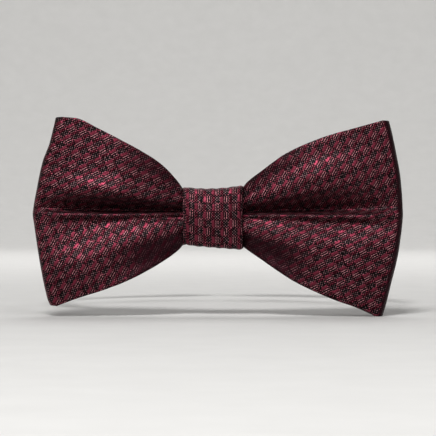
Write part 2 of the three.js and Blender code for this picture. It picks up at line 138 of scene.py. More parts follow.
# Each wing: the outline of its edges and its outer end, then where each fold line lies up and down
# the wing and how far forward it stands, at five stations from the knot to the outer end.
LEFT = dict(
    side=-1,
    top_at=[0, 0.03, 0.18, 0.34, 0.52, 0.69, 0.885, 1],
    top=[8.8, 10.6, 16.8, 20.9, 24.7, 28.1, 31.6, 32.0],
    bottom_at=[0, 0.03, 0.175, 0.39, 0.61, 0.83, 1],
    bottom=[8.6, 10.0, 14.2, 18.9, 22.8, 25.7, 28.3],
    end_at=[-28.3, -26.6, -15.7, -3, 1.1, 8.4, 17.9, 23.8, 32],
    end=[52.9, 53.6, 55.9, 57.9, 58.4, 57.2, 55.2, 53.0, 51.0],
    folds=dict(
        top_roll=([8.2, 15.0, 20.4, 24.4, 27.6], [-8.8, -12.4, -13.9, -13.2, -11.5]),
        shoulder=([6.4, 9.8, 13.4, 14.6, 13.0], [-9.8, -12.9, -14.5, -13.6, -11.7]),
        crest=([4.9, 7.0, 8.6, 9.4, 8.2], [-10.7, -14.1, -16.2, -15.0, -12.0]),
        brow=([4.1, 5.8, 6.8, 7.2, 6.6], [-10.2, -13.4, -15.0, -13.8, -11.7]),
        pleat=([2.9, 3.8, 4.4, 4.6, 4.9], [-8.2, -9.2, -9.6, -9.7, -10.6]),
        pleat_floor=([2.1, 2.2, 2.2, 2.3, 3.0], [-7.2, -7.2, -7.2, -7.8, -9.8]),
        lip=([0.9, 0.9, 0.8, 0.9, 1.4], [-9.4, -11.2, -11.8, -11.9, -11.6]),
        crease=([0.0, -0.6, -1.4, -1.7, -1.5], [-9.0, -10.4, -10.1, -10.0, -10.8]),
        brow_low=([-1.2, -2.0, -3.8, -6.6, -9.0], [-9.8, -11.2, -11.0, -10.9, -11.2]),
        crest_low=([-3.0, -6.0, -10.2, -15.0, -17.6], [-10.7, -13.0, -13.6, -13.9, -12.1]),
        bottom_roll=([-7.4, -13.2, -18.0, -21.4, -24.0], [-8.6, -11.6, -12.8, -13.4, -11.5]),
    ),
    edge_y=[-7.6, -12.0, -13.2, -12.8, -11.2],
)
RIGHT = dict(
    side=1,
    top_at=[0, 0.03, 0.135, 0.31, 0.48, 0.62, 0.82, 1],
    top=[9.2, 10.9, 14.6, 20.2, 23.8, 26.1, 28.6, 30.9],
    bottom_at=[0, 0.03, 0.19, 0.41, 0.655, 0.86, 1],
    bottom=[9.0, 10.0, 14.6, 20.7, 25.7, 28.9, 31.7],
    end_at=[-31.7, -29.4, -22.6, -9.8, 1.6, 12.4, 20.6, 27.4, 31],
    end=[55.2, 55.9, 57.6, 60.5, 61.7, 60.9, 59.5, 58.1, 57.2],
    folds=dict(
        top_roll=([8.2, 16.2, 22.8, 25.8, 28.6], [-8.8, -12.6, -13.3, -12.9, -11.7]),
        shoulder=([6.6, 12.6, 20.0, 22.4, 23.0], [-9.8, -13.0, -13.6, -13.2, -11.9]),
        crest=([4.8, 8.6, 13.4, 15.0, 14.0], [-10.6, -14.2, -15.9, -14.7, -12.2]),
        brow=([4.0, 6.6, 9.6, 10.6, 10.8], [-10.1, -13.4, -15.2, -14.0, -11.9]),
        pleat=([2.8, 3.8, 5.0, 5.6, 6.2], [-8.2, -9.2, -9.8, -10.0, -10.7]),
        pleat_floor=([1.9, 2.1, 2.3, 2.6, 3.6], [-7.2, -7.2, -7.2, -7.8, -9.8]),
        lip=([0.4, 0.5, 0.3, 0.2, 0.8], [-9.4, -11.2, -11.7, -11.9, -11.7]),
        crease=([-0.4, -1.1, -1.9, -2.2, -2.0], [-9.0, -10.4, -10.1, -9.9, -10.9]),
        brow_low=([-1.4, -2.4, -3.4, -4.0, -5.0], [-9.8, -11.2, -11.0, -10.9, -11.3]),
        crest_low=([-3.4, -6.4, -9.4, -10.6, -11.6], [-10.7, -13.0, -13.4, -13.5, -12.1]),
        bottom_roll=([-7.4, -14.2, -20.0, -23.4, -26.4], [-8.6, -11.6, -12.8, -13.0, -11.5]),
    ),
    edge_y=[-7.6, -12.2, -12.9, -12.7, -11.4],
)

FRONT_ROWS, BACK_ROWS, TURN_ROWS = 112, 34, 9
WING_FRONT = len(WAIST_AT) + FRONT_ROWS  # rows from the waist to where the cloth turns back
CROWDING = 1.15  # the rows in front stand closer together near the knot
FACE_ACROSS = 150

# Drag lines fan out from the knot and die away, and the cloth eases and cockles a little all over
GATHERS = dict(depth=0.30, lines=21, fade=6.0)
PULLS = dict(depth=0.16, lines=11, fade=2.5)
EASE, COCKLE, BACK_EASE = 0.16, 0.05, 0.12


def wing_rows(wing, t):
    """The outer face of one wing, as rows from the waist in front to the waist behind."""
    side = wing["side"]
    high = t > 0
    end_z = t * np.where(high, wing["top"][-1], wing["bottom"][-1])
    flat_x = flow(wing["end_at"], wing["end"], end_z) - END_ROUND

    def waist_row(x, y):
        """A row inside the knot, where the strip is gathered."""
        half = WAIST_HALF + (MOUTH_HALF - WAIST_HALF) * (x - WAIST_AT[0]) / WAIST_OPENS
        return np.stack([np.full_like(t, side * x), np.full_like(t, y), t * half], axis=1)

    def edges(f):
        """How far up and down the wing reaches at a share of the way out."""
        here = np.array([f])
        return flow(wing["top_at"], wing["top"], here)[0], flow(wing["bottom_at"], wing["bottom"], here)[0]

    def heights(f):
        return t * np.where(high, *edges(f))

    def row_at(f, y):
        x = KNOT_EDGE + (flat_x - KNOT_EDGE) * f
        return np.stack([side * x, y, heights(f)], axis=1)

    def front_y(f):
        """How far forward the folds bring the cloth, up and down one row."""
        here = np.array([f])
        top, bottom = edges(f)
        edge = flow(STATIONS, wing["edge_y"], here)[0]
        folds = wing["folds"].values()
        places = [top, *(flow(STATIONS, at, here)[0] for at, _ in folds), -bottom]
        depths = [edge, *(flow(STATIONS, y, here)[0] for _, y in folds), edge]
        order = np.argsort(places)
        return flow(np.array(places)[order], np.array(depths)[order], heights(f))

    rows = [waist_row(x, WAIST_FRONT) for x in WAIST_AT]
    for f in np.linspace(0, 1, FRONT_ROWS) ** CROWDING:
        gathers = GATHERS["depth"] * np.sin(t * GATHERS["lines"] + 1.3 * side) * np.exp(-f * GATHERS["fade"])
        pulls = PULLS["depth"] * np.sin(t * PULLS["lines"] + 2.1 * side) * np.exp(-f * PULLS["fade"])
        ease = EASE * np.sin(f * 9 + t * 5) * np.sin(f * math.pi) * (1 - t**4)
        cockle = COCKLE * np.sin(f * 31 + t * 7) * np.cos(t * 17 - f * 13)
        ripple = gathers * np.clip(f * 12, 0, 1) + pulls + ease + cockle
        rows.append(row_at(f, front_y(f) - ripple))
    front_end = rows[-1][:, 1]
    back_end = WAIST_BACK - BACK_LEAN
    middle, half = (front_end + back_end) / 2, (back_end - front_end) / 2
    for turn in np.linspace(0, math.pi, TURN_ROWS + 2)[1:-1]:
        x = flat_x + END_ROUND * math.sin(turn)
        rows.append(np.stack([side * x, middle - half * math.cos(turn), end_z], axis=1))
    seam = SEAM_RIDGE * np.exp(-((t / SEAM_WIDTH) ** 2))
    for f in np.linspace(1, 0, BACK_ROWS):
        sag = (BACK_SAG + BACK_EASE * np.sin(t * 6 + f * 7)) * math.sin(math.pi * f)
        rows.append(row_at(f, WAIST_BACK - BACK_LEAN * f**3 + sag * (1 - 0.6 * t**2) - seam))
    rows += [waist_row(x, WAIST_BACK) for x in reversed(WAIST_AT)]
    return np.array(rows)


def strip_rows(t):
    """Once round the strip: out along the right wing and back, then the same along the left one."""
    right, left = wing_rows(RIGHT, t), wing_rows(LEFT, t)
    return np.concatenate([right, left[::-1]])


def soften(y, reach):
    """A running average across the strip, which leaves its edges where they are."""
    kernel = np.hanning(2 * reach + 3)[1:-1]
    kernel /= kernel.sum()
    padded = np.pad(y, ((0, 0), (reach, reach)), mode="edge")
    return np.stack([np.convolve(row, kernel, mode="valid") for row in padded])


def outward_of(points):
    """The direction that each point of a closed strip faces."""
    along = np.roll(points, -1, axis=0) - np.roll(points, 1, axis=0)
    up = np.gradient(points, axis=1)
    facing = np.cross(along, up)
    return facing / np.linalg.norm(facing, axis=2, keepdims=True)


FOLD_REACH = 6  # places to each side over which the ply inside evens out the folds


def inner_ply(outer, thickness):
    """The strip's inner face. In front it runs smoothly behind the folds, as its stiffener does."""
    deepest = outer[:, :, 1].copy()
    padded = np.pad(deepest, ((0, 0), (FOLD_REACH, FOLD_REACH)), mode="edge")
    for shift in range(2 * FOLD_REACH + 1):
        deepest = np.maximum(deepest, padded[:, shift : shift + deepest.shape[1]])
    smoothed = outer.copy()
    smoothed[:, :, 1] = soften(deepest, FOLD_REACH) + thickness
    front = from_waist < WING_FRONT
    return np.where(front[:, None, None], smoothed, outer - outward_of(outer) * thickness)


def rounded_edge(place, beside, start, end, rounds):
    """Points round one edge of a tube, from its start face to its end face, past the edge at place."""
    middle, half = (start + end) / 2, (start - end) / 2
    reach = np.linalg.norm(half, axis=1, keepdims=True)
    out = place - beside
    out /= np.linalg.norm(out, axis=1, keepdims=True)
    turns = np.linspace(0, math.pi, rounds + 2)[1:-1]
    return np.stack([middle + half * math.cos(a) + out * reach * math.sin(a) for a in turns], axis=1)


def closed_tube(outer, inner, rounds=5):
    """A flat tube: the outer face, one rounded edge, the inner face and the other rounded edge."""
    top = rounded_edge(outer[:, -1], outer[:, -5], outer[:, -1], inner[:, -1], rounds)
    bottom = rounded_edge(outer[:, 0], outer[:, 4], inner[:, 0], outer[:, 0], rounds)
    return np.concatenate([outer, top, inner[:, ::-1], bottom], axis=1)


def bias(u, v):
    """Places on the cloth turned by the 45 degrees of the bias cut: across its columns, then along."""
    return np.stack([(u - v), (u + v)], axis=-1) / math.sqrt(2)


def turned(x, z, degrees):
    """Places on the cloth turned in its own plane."""
    angle = np.radians(degrees)
    return x * np.cos(angle) + z * np.sin(angle), z * np.cos(angle) - x * np.sin(angle)


face_t = np.linspace(-1, 1, FACE_ACROSS)
outer = strip_rows(face_t)
wing_length = len(outer) // 2
from_waist = np.minimum(np.arange(len(outer)), np.arange(len(outer))[::-1])
in_front = from_waist < WING_FRONT + TURN_ROWS

# The cloth's length up each row, measured along its folds
climbed = np.cumsum(np.linalg.norm(np.diff(outer, axis=1), axis=2), axis=1)
up_length = np.concatenate([np.zeros((len(outer), 1)), climbed], axis=1)


def measured_from(share):
    """Length up the cloth counted from a share of each row, starting at that share's own height."""
    place = int((share + 1) / 2 * (FACE_ACROSS - 1))
    return up_length - up_length[:, [place]] + outer[:, [place], 2]


UPPER_MIDDLE, LOWER_MIDDLE = 0.42, -0.5  # about the middle of each puff
PUFF_TILT = 16.5  # degrees that each puff's gathers turn the weave
upper_z, lower_z = measured_from(UPPER_MIDDLE), measured_from(LOWER_MIDDLE)

# How far out along the cloth each point lies: as far as it stands out, then on round the end's fold
cloth_x = outer[:, :, 0].copy()
for first, onward in ((WING_FRONT - 1, 1), (len(outer) - WING_FRONT, -1)):
    fold_rows = first + onward * np.arange(TURN_ROWS + 2)
    run = np.cumsum(np.linalg.norm(np.diff(outer[fold_rows, :, :2], axis=0), axis=2), axis=0)
    cloth_x[fold_rows[1:]] = outer[first, :, 0] + onward * run

inner = inner_ply(outer, STRIP_THICKNESS)
section = closed_tube(outer, inner[:, ::3])


PLEAT_RUN = 46.0  # from the knot to where the pleat ends


def pleat_height(x):
    """How high the pleat's floor runs at any place along the two wings."""
    height = 0
    for wing in (LEFT, RIGHT):
        reached = wing["side"] * x
        out = np.clip((reached - KNOT_EDGE) / PLEAT_RUN, 0, 1)
        height = height + (reached > 0) * flow(STATIONS, wing["folds"]["pleat_floor"][0], out)
    return height


def bow_weave(i, j):
    """Places in the weave for the corners of the strip's faces, one wing and one puff at a time."""
    row, place = i % len(outer), j % section.shape[1]
    x, z = section[row, place, 0], section[row, place, 2]
    on_face = (j < FACE_ACROSS).all(axis=1, keepdims=True)
    face_place = np.minimum(j, FACE_ACROSS - 1)
    out_x = cloth_x[row, face_place]
    right = (row < wing_length).all(axis=1, keepdims=True)
    tilt = np.where(right, PUFF_TILT, -PUFF_TILT)
    lower = bias(*turned(out_x, lower_z[row, face_place], -tilt))
    upper = bias(*turned(out_x, upper_z[row, face_place], tilt))
    on_upper = z.mean(axis=1, keepdims=True) > pleat_height(x.mean(axis=1, keepdims=True))
    face = np.where(on_upper[..., None], upper, lower)
    front = in_front[row].all(axis=1, keepdims=True) & on_face
    return np.where(front[..., None], face, bias(x, z))


# Beside the knot the wings' edges turn away, and painted shade fades their figure into a flat dark burgundy:
# the height where that starts, how it rises with each millimetre outwards, how it fades in and how far it
# goes
LOW_TURN = dict(start=3.5, rise=0.26, fade=3.0, most=0.85)
HIGH_TURN = dict(start=6.5, rise=0.50, fade=4.0, most=0.55)
TURN_STARTS, TURN_ENDS, TURN_FADE = 10, 34, 12
END_STRIP, END_FADE = 2.0, 0.5  # the same painted shade, along the right wing's end


def painted_turn_shade(height, reached, turn):
    """How much painted shade the cloth gets where it turns away from the front, from 0 to 1."""
    line = turn["start"] + turn["rise"] * (reached - TURN_STARTS)
    return turn["most"] * np.clip((height - line) / turn["fade"], 0, 1)


reached, height = np.abs(section[:, :, 0]), section[:, :, 2]
beside_knot = np.clip((TURN_ENDS - reached) / TURN_FADE, 0, 1) * (reached > KNOT_EDGE)
low_shade, high_shade = painted_turn_shade(-height, reached, LOW_TURN), painted_turn_shade(height, reached, HIGH_TURN)
painted_shade_amount = np.maximum(low_shade, high_shade) * beside_knot
# Painted shade also lies in a strip along the right wing's end, where the cloth turns back
past_end = section[:, :, 0] - flow(RIGHT["end_at"], RIGHT["end"], height)
painted_shade_amount = np.maximum(painted_shade_amount, np.clip((past_end + END_STRIP) / END_FADE, 0, 1))
bow = grid_mesh("bow", section, bow_weave, True, True, painted_shade_amount)


class Socket:
    """A shader value that can be written in sums."""

    def __init__(self, shade, socket):
        self.shade, self.socket = shade, socket

    def _with(self, operation, *others):
        return self.shade.math(operation, self, *others)

    def __add__(self, other):
        return self._with("ADD", other)

    def __radd__(self, other):
        return self._with("ADD", other)

    def __sub__(self, other):
        return self._with("SUBTRACT", other)

    def __rsub__(self, other):
        return self.shade.math("SUBTRACT", other, self)

    def __mul__(self, other):
        return self._with("MULTIPLY", other)

    def __rmul__(self, other):
        return self._with("MULTIPLY", other)

    def __truediv__(self, other):
        return self._with("DIVIDE", other)

    def floor(self):
        return self._with("FLOOR")

    def fract(self):
        return self._with("FRACT")

    def abs(self):
        return self._with("ABSOLUTE")

    def sin(self):
        return self._with("SINE")

    def clamp(self):
        return self._with("MINIMUM", 1.0)._with("MAXIMUM", 0.0)

    def odd(self):
        """1 on odd whole numbers and 0 on even ones."""
        return (self / 2).fract() * 2

    def within(self, half, soft):
        """1 nearer to 0 than half, fading to 0 over soft."""
        return ((half - self.abs()) / soft + 0.5).clamp()


class Finish:
    """A material under construction, with one way to add any node."""

    def __init__(self, name):
        self.material = bpy.data.materials.new(name)
        self.material.use_nodes = True
        self.tree = self.material.node_tree
        self.tree.nodes.clear()

    def node(self, kind, settings=None, **inputs):
        made = self.tree.nodes.new(kind)
        for key, value in (settings or {}).items():
            setattr(made, key, value)
        for key, value in inputs.items():
            place = int(key[1:]) if key[1:].isdigit() else key.replace("_", " ")
            socket = made.inputs[place]
            if isinstance(value, Socket):
                self.tree.links.new(value.socket, socket)
            else:
                socket.default_value = value
        return made

    def out(self, made, name=0):
        return Socket(self, made.outputs[name])

    def math(self, operation, *values):
        inputs = {f"i{k}": value for k, value in enumerate(values)}
        return self.out(self.node("ShaderNodeMath", {"operation": operation}, **inputs))

    def mix(self, factor, first, second):
        made = self.node("ShaderNodeMix", {"data_type": "RGBA"}, i0=factor, i6=first, i7=second)
        return self.out(made, 2)

    def noise(self, vector, scale, detail=2.0):
        return self.out(self.node("ShaderNodeTexNoise", {}, Vector=vector, Scale=scale, Detail=detail))

    def finish(self, **inputs):
        shader = self.node("ShaderNodeBsdfPrincipled", {}, **inputs)
        self.node("ShaderNodeOutputMaterial", {}, Surface=self.out(shader))
        return self.material


def rgb(red, green, blue):
    """A colour given as it looks on a screen, from 0 to 255, as the light it gives back."""
    shown = [c / 255 for c in (red, green, blue)]
    light = [c / 12.92 if c < 0.0404 else ((c + 0.055) / 1.055) ** 2.4 for c in shown]
    return (*light, 1.0)


COLUMN = 2.76 * MM  # from one column of satin dashes to the next
DASH = 2.75 * MM  # from one dash to the next along a column
DASH_HALF_WIDTH, DASH_HALF_LENGTH = 0.165, 0.39  # as shares of those two
BLOCK_HALF_WIDTH, BLOCK_HALF_LENGTH = 0.29, 0.40
FLOAT = COLUMN / 4  # from one raised thread to the next in a striped block
BINDING = COLUMN / 3  # from one binding point of the ground to the next
SATIN = rgb(112, 42, 57)
SATIN_DIM = rgb(44, 6, 15)
SATIN_DIM_THREAD = rgb(150, 62, 80)
GROUND = rgb(5, 0, 2)
GROUND_THREAD = rgb(182, 92, 108)
CHARCOAL = rgb(6, 4, 5)
CHARCOAL_THREAD = rgb(146, 108, 114)
STRIPE_DARK = rgb(4, 1, 2)
STRIPE_LIGHT = rgb(182, 120, 128)
# Painted shade: a flat dark burgundy for where the cloth turns away beside the knot and at the right wing's
# end
PAINTED_SHADE = rgb(36, 9, 17)


def jacquard(name):
    """Burgundy satin dashes in columns, with blocks of fine stripes and of charcoal between them."""
    cloth = Finish(name)
    uv = cloth.out(cloth.node("ShaderNodeUVMap", {"uv_map": "weave"}))
    place = cloth.node("ShaderNodeSeparateXYZ", {}, Vector=uv)
    across, along = cloth.out(place, 0), cloth.out(place, 1)
    # The rows wander a little, and single threads make every edge ragged
    wander = cloth.noise(uv, 420.0) - 0.5
    speckle = cloth.noise(uv, 1500.0)
    ragged = speckle - 0.5
    column = across / COLUMN + wander * 0.16 + ragged * 0.30
    row = along / DASH + wander * 0.24 + ragged * 0.42
    bright = 1 - (column.floor() + row.floor()).odd()
    in_column, in_row = column.fract() - 0.5, row.fract() - 0.5
    dash = in_column.within(DASH_HALF_WIDTH, 0.09) * in_row.within(DASH_HALF_LENGTH, 0.14)
    between = column + 0.5
    in_block = between.fract() - 0.5
    striped = (between.floor() + row.floor()).odd()
    block = in_block.within(BLOCK_HALF_WIDTH, 0.08) * in_row.within(BLOCK_HALF_LENGTH, 0.12)
    # Raised threads: single points where the ground is bound, and ribs in the striped blocks
    rib = (across * (2 * math.pi / FLOAT)).sin()
    binding = (across * (2 * math.pi / BINDING)).sin() * (along * (2 * math.pi / BINDING)).sin()
    points = (binding * 1.6 + ragged * 5.0 - 0.62).clamp()
    lines = (rib * 1.5 + binding * 0.6 + ragged * 3.4 - 0.55).clamp()
    ground = cloth.mix(points, GROUND, GROUND_THREAD)
    stripes = cloth.mix(lines, STRIPE_DARK, STRIPE_LIGHT)
    charcoal = cloth.mix(points, CHARCOAL, CHARCOAL_THREAD)
    filled = cloth.mix(striped, charcoal, stripes)
    satin = cloth.mix(bright, cloth.mix(points, SATIN_DIM, SATIN_DIM_THREAD), SATIN)
    figured = cloth.mix(dash, cloth.mix(block, ground, filled), satin)
    # Painted shade: where the cloth turns away, its figure gives way to flat dark burgundy
    plain = cloth.out(cloth.node("ShaderNodeAttribute", {"attribute_name": "plain"}), "Fac")
    weave_with_painted_shade = cloth.mix(plain, figured, PAINTED_SHADE)
    # The gaps between threads darken the cloth, and the satin stands up and shines
    shadow = (0.72 + 0.56 * speckle).clamp()
    grey = cloth.out(cloth.node("ShaderNodeCombineColor", {}, Red=shadow, Green=shadow, Blue=shadow))
    darken = {"data_type": "RGBA", "blend_type": "MULTIPLY"}
    colour = cloth.out(cloth.node("ShaderNodeMix", darken, i0=1.0, i6=weave_with_painted_shade, i7=grey), 2)
    height = dash * 0.7 + block * striped * lines * 0.4 + points * 0.25 + speckle * 0.3
    bump = cloth.node("ShaderNodeBump", {}, Strength=0.6, Distance=0.00020, Height=height)
    gloss = dash * (0.35 + 0.35 * bright) + block * striped * 0.2
    return cloth.finish(
        Base_Color=colour,
        Metallic=0.6 + 0.5 * gloss,
        Roughness=0.50 - 0.12 * gloss,
        Normal=cloth.out(bump),
        Specular_IOR_Level=0.15,
    )


woven = jacquard("woven_cloth")
bow.data.materials.append(woven)
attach(bow, "bow")
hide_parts("bow_cloth")

# ---------------------------------------------------------------------------------------------
# Inside the strip: its stiffener, a soft felted interlining that is cut a little narrower, sewn in
# with the seam and folded and gathered with the cloth.
# ---------------------------------------------------------------------------------------------


def felt():
    """Pale wool felt, with its fibres in every direction."""
    wool = Finish("interlining")
    place = wool.out(wool.node("ShaderNodeTexCoord", {}), "Object")
    fibres = wool.noise(place, 2600.0, 4.0)
    colour = wool.mix(fibres, rgb(176, 170, 156), rgb(226, 221, 208))
    bump = wool.node("ShaderNodeBump", {}, Strength=0.5, Distance=0.0002, Height=fibres)
    return wool.finish(Base_Color=colour, Roughness=0.95, Normal=wool.out(bump))


def layer_between(outer, inner, start, end):
    """A closed layer that lies from one share of the way between two faces to another."""
    through = inner - outer
    return np.concatenate([outer + through * start, (outer + through * end)[:, ::-1]], axis=1)


def no_weave(i, j):
    """Felt has no weave, so any places do."""
    return np.stack([i * 1.0, j * 1.0], axis=-1)


NARROWER = slice(6, -6, 2)  # it stops short of the strip's edges
interlining = felt()
stiffener_layer = layer_between(outer[:, NARROWER], inner[:, NARROWER], 0.5, 0.85)
stiffener = grid_mesh("bow_stiffener", stiffener_layer, no_weave, True, True)
stiffener.data.materials.append(interlining)
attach(stiffener, "bow")
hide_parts("bow_interlining")

# ---------------------------------------------------------------------------------------------
# The knot: a narrow strip of the same cloth on the straight grain, wound once round the gathered
# waist and the neckband over a stiffener, with its ends sewn together behind.
# ---------------------------------------------------------------------------------------------

knot_low = np.array(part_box("knot_wrap")[0]) / MM
KNOT_TOP, KNOT_BOTTOM = 9.35, -9.95  # at the knot's middle, where it is drawn in most
TOP_FLARE, TOP_SLOPE, BOTTOM_SLOPE = 0.85, 0.3, 0.75  # the knot is taller on the right
KNOT_ROUND, BACK_ROUND = 2.4, 1.2
KNOT_SWELL = 1.4
WRAP_THICKNESS = 0.7
AROUND, KNOT_ACROSS = 160, 66


def arc(y, z, radius, start, end, steps):
    """Points round a corner, seen from the knot's side."""
    turns = np.radians(np.linspace(start, end, steps))
    return np.stack([y + radius * np.cos(turns), z + radius * np.sin(turns)], axis=1)


def knot_ring(x):
    """The wrap's outer line at one place across the knot, from the seam behind over the top and round."""
    share = x / KNOT_EDGE
    to_left = max(-share, 0)
    top = KNOT_TOP + TOP_FLARE * share**2 + TOP_SLOPE * share
    low_left_corner = 0.6 * to_left**2 + 0.9 * to_left**7
    bottom = KNOT_BOTTOM + low_left_corner - BOTTOM_SLOPE * max(share, -0.3)
    front = knot_low[1] + 1.2 + 0.7 * share**2
    swell = KNOT_SWELL * (1 - 0.35 * share**2)
    rise = np.linspace(1, -1, 23)[1:-1]
    face_z = (top + bottom) / 2 + ((top - bottom) / 2 - KNOT_ROUND) * rise
    face = np.stack([front - swell * (1 - rise**2), face_z], axis=1)
    line = np.concatenate(
        [
            [(0, 0)],
            arc(-BACK_ROUND, top - BACK_ROUND, BACK_ROUND, 0, 90, 7),
            arc(front + KNOT_ROUND, top - KNOT_ROUND, KNOT_ROUND, 90, 180, 11),
            face,
            arc(front + KNOT_ROUND, bottom + KNOT_ROUND, KNOT_ROUND, 180, 270, 11),
            arc(-BACK_ROUND, bottom + BACK_ROUND, BACK_ROUND, 270, 360, 7),
            [(0, 0)],
        ]
    )
    reached = np.concatenate([[0], np.cumsum(np.linalg.norm(np.diff(line, axis=0), axis=1))])
    at = np.linspace(0, reached[-1], AROUND + 1)[:-1]
    evenly = [np.interp(at, reached, line[:, side]) for side in (0, 1)]
    return np.stack(evenly, axis=1), reached[-1]


wrap_x = np.linspace(-KNOT_EDGE, KNOT_EDGE, KNOT_ACROSS)
wrap = np.zeros((AROUND, KNOT_ACROSS, 3))
for j, x in enumerate(wrap_x):
    ring, around_length = knot_ring(x)
    wrap[:, j, 0] = x
    wrap[:, j, 1:] = ring
for _ in range(3):
    wrap = (np.roll(wrap, 1, axis=0) + 2 * wrap + np.roll(wrap, -1, axis=0)) / 4
wrap_facing = outward_of(wrap)

# The wrap's edges are turned under, so they roll inwards at the knot's two sides
EDGE_ROLL, ROLL_WIDTH, CREASE_DEPTH = 0.6, 1.3, 0.09
near_edge = np.clip((np.abs(wrap[:, :, :1]) - (KNOT_EDGE - ROLL_WIDTH)) / ROLL_WIDTH, 0, 1)
roll = EDGE_ROLL * (1 - np.sqrt(1 - 0.98 * near_edge**2))
wavy = wrap[:, :, :1] * 1.9 + 0.9 * np.sin(wrap[:, :, 2:] * 0.45)
creases = CREASE_DEPTH * (np.sin(wavy) * (1 - near_edge) + 1)
wrap_outer = wrap - wrap_facing * (roll + creases)
wrap_inner = wrap - wrap_facing * (WRAP_THICKNESS + roll * 0.5)
wrap_section = closed_tube(wrap_outer, wrap_inner, rounds=4)


FIGURE_ACROSS, FIGURE_ALONG = 1.2, 0.4  # where the figure starts on the wrap


def knot_weave(i, j):
    """The wrap is cut straight along the cloth's columns, with one of them about in its middle."""
    x = wrap_section[i % AROUND, j % wrap_section.shape[1], 0]
    return np.stack([x + FIGURE_ACROSS, i * (around_length / AROUND) + FIGURE_ALONG], axis=-1)


knot = grid_mesh("knot", wrap_section, knot_weave, True, True, np.zeros(wrap_section.shape[:2]))
knot.data.materials.append(woven)
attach(knot, "bow")
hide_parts("knot_wrap")

LINING_FROM, LINING_TO = 0.12, 0.60  # how far under the wrap the knot's stiffener lies
lining_places = slice(5, KNOT_ACROSS - 5)
lining_outer = (wrap_inner - wrap_facing * LINING_FROM)[:, lining_places]
lining_inner = (wrap_inner - wrap_facing * LINING_TO)[:, lining_places]
lining_section = layer_between(lining_outer, lining_inner, 0, 1)
lining = grid_mesh("knot_stiffener", lining_section, no_weave, True, True)
lining.data.materials.append(interlining)
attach(lining, "bow")
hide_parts("knot_interlining")

# ---------------------------------------------------------------------------------------------
# The neckband: a strip of the same cloth folded lengthwise and pressed flat. The left end turns
# round the eye's bar; the right end runs through the adjuster, round the hook's bar and back.
# ---------------------------------------------------------------------------------------------

joints = {joint["name"]: joint for joint in frame["joints"]}
neck_y = joints["size_adjust"]["pos_m"][1] / MM
BAND_WIDTH, BAND_THICKNESS = 15.0, 1.15
BAND_OUTSIDE = neck_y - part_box("neckband_front")[0][1] / MM  # radii from the neck's axis
BAND_MID = BAND_OUTSIDE - 0.6
fold_x, fold_y = [c / MM for c in joints["hook_tilt"]["pos_m"][:2]]
FOLD_ANGLE = math.degrees(math.atan2(fold_x, neck_y - fold_y))
FOLD_MID = math.hypot(fold_x, neck_y - fold_y)
UPPER_PLY = 2 * FOLD_MID - BAND_MID
UNDER_PLY = BAND_MID + 1.5


def round_neck(radius, degrees):
    """A place in plan, by its angle round the neck from the knot, to the right."""
    angle = np.radians(degrees)
    return np.stack([radius * np.sin(angle), neck_y - radius * np.cos(angle)], axis=-1)


def neck_run(radius, start, end, end_radius=None):
    """Points round the neck, about a millimetre apart."""
    steps = max(2, int(abs(end - start) * math.pi / 180 * radius))
    share = np.linspace(0, 1, steps + 1)
    ease = share * share * (3 - 2 * share)
    radii = radius + ((end_radius or radius) - radius) * ease
    return round_neck(radii, start + (end - start) * share)


def half_turn(inner_radius, outer_radius, degrees, side):
    """Points round a fold, from the ply next to the neck to the one outside it."""
    centre = round_neck((inner_radius + outer_radius) / 2, degrees)
    x, y = round_neck((outer_radius - inner_radius) / 2, degrees) - [0, neck_y]
    turns = np.radians(side * (180 - np.linspace(0, 180, 13)[1:-1]))
    cos, sin = np.cos(turns), np.sin(turns)
    return centre + np.stack([x * cos - y * sin, x * sin + y * cos], axis=1)


BAND_RIPPLE = 0.05


def band(name, line, start_length=0.0):
    """A length of neckband along a line in plan, standing on edge, with softly rounded folded edges."""
    step = np.gradient(line, axis=0)
    step /= np.linalg.norm(step, axis=1, keepdims=True)
    normal = np.stack([step[:, 1], -step[:, 0]], axis=1)
    reached = np.concatenate([[0], np.cumsum(np.linalg.norm(np.diff(line, axis=0), axis=1))])
    half, edge = BAND_WIDTH / 2, BAND_THICKNESS / 2
    flat = np.linspace(-half + edge, half - edge, 22)
    turn = np.linspace(-math.pi / 2, math.pi / 2, 7)[1:-1]
    profile = [(edge, z) for z in flat]
    profile += [(-edge * math.sin(a), half - edge + edge * math.cos(a)) for a in turn]
    profile += [(-edge, z) for z in flat[::-1]]
    profile += [(edge * math.sin(a), edge - half - edge * math.cos(a)) for a in turn]
    out, height = np.array(profile).T
    ripple = BAND_RIPPLE * np.sin(reached * 0.55)[:, None] * np.cos(height * 0.4)
    points = np.zeros((len(line), len(profile), 3))
    points[:, :, :2] = line[:, None, :] + normal[:, None, :] * (out + ripple)[:, :, None]
    points[:, :, 2] = height

    def weave(i, j):
        """The band is cut straight, so its places are its height and its length so far."""
        return np.stack([height[j % len(profile)], reached[i] + start_length], axis=-1)

    piece = grid_mesh(name, points, weave, False, True, np.zeros(points.shape[:2]))
    shape = bmesh.new()
    shape.from_mesh(piece.data)
    bmesh.ops.holes_fill(shape, edges=[e for e in shape.edges if e.is_boundary], sides=0)
    bmesh.ops.recalc_face_normals(shape, faces=shape.faces)
    shape.to_mesh(piece.data)
    shape.free()
    piece.data.materials.append(woven)
    return piece, reached[-1]


def at_neck(degrees):
    """A point on the middle of the band, in metres, at an angle round the neck."""
    x, y = round_neck(BAND_MID, degrees) * MM
    return (x, y, 0)


